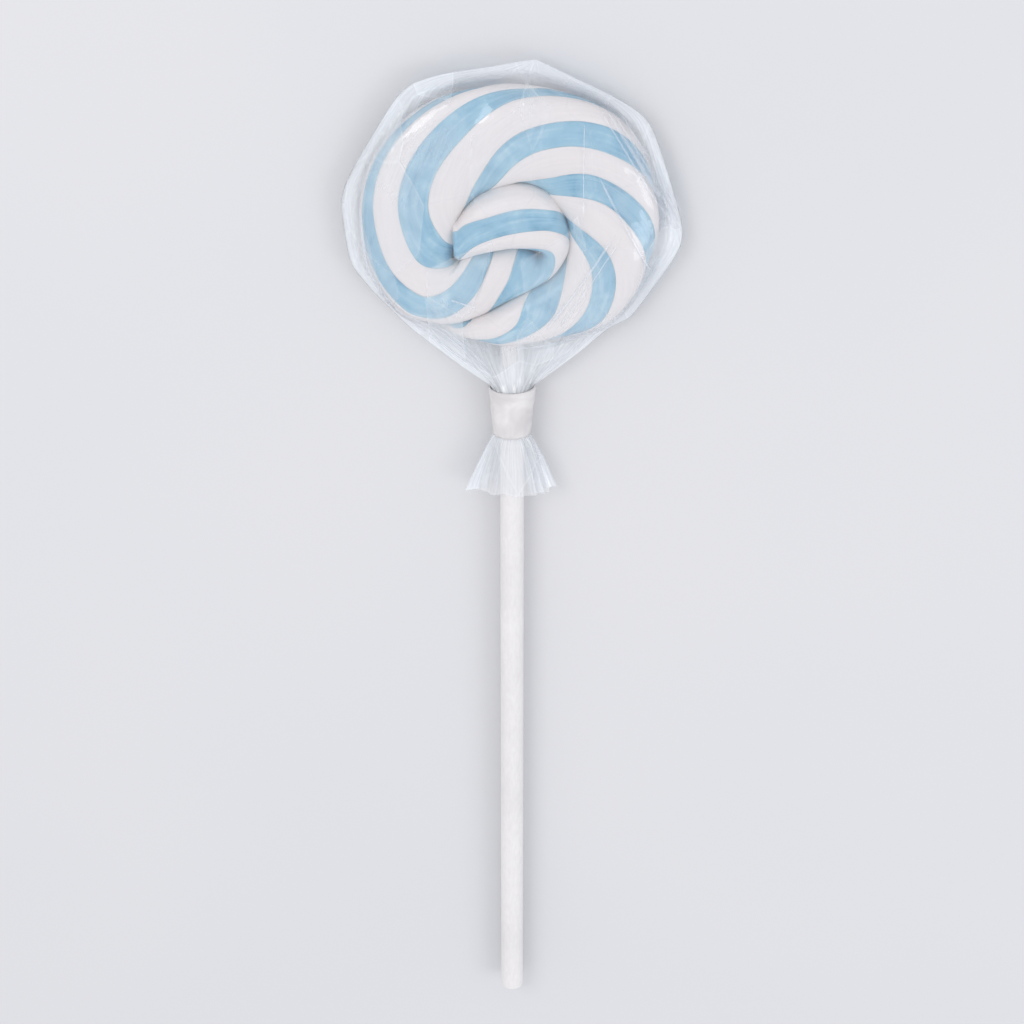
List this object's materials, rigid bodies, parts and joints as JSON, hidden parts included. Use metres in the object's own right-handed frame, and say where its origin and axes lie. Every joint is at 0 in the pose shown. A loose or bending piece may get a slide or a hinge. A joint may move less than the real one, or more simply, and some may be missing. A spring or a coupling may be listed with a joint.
{
  "type": "swirl lollipop",
  "caption": "Flat round swirl lollipop: a twisted white and pale blue candy rope coiled on a paper stick, in clear film gathered and taped below the head.",
  "frame": {"origin": "on the candy's flat back, under the centre of the head", "axes": "+Z out of the candy's face, +Y from the stick towards the top of the head, +X to the right seen from the face"},
  "size_m": [0.0832, 0.2658, 0.0126],
  "materials": {
    "blue_sugar": "boiled sugar, pale blue, slightly see-through, smooth",
    "white_sugar": "pulled sugar, white, satin",
    "rolled_paper": "tightly rolled white paper, matt",
    "clear_film": "clear polypropylene film, glossy",
    "frosted_tape": "frosted adhesive tape, matt"
  },
  "bodies": {
    "root": {"blue_rope": "blue_sugar", "white_stripe_1": "white_sugar", "white_stripe_2": "white_sugar", "white_stripe_3": "white_sugar", "white_stripe_4": "white_sugar", "stick": "rolled_paper", "wrapper": "clear_film", "tape_band": "frosted_tape"}
  },
  "joints": []
}
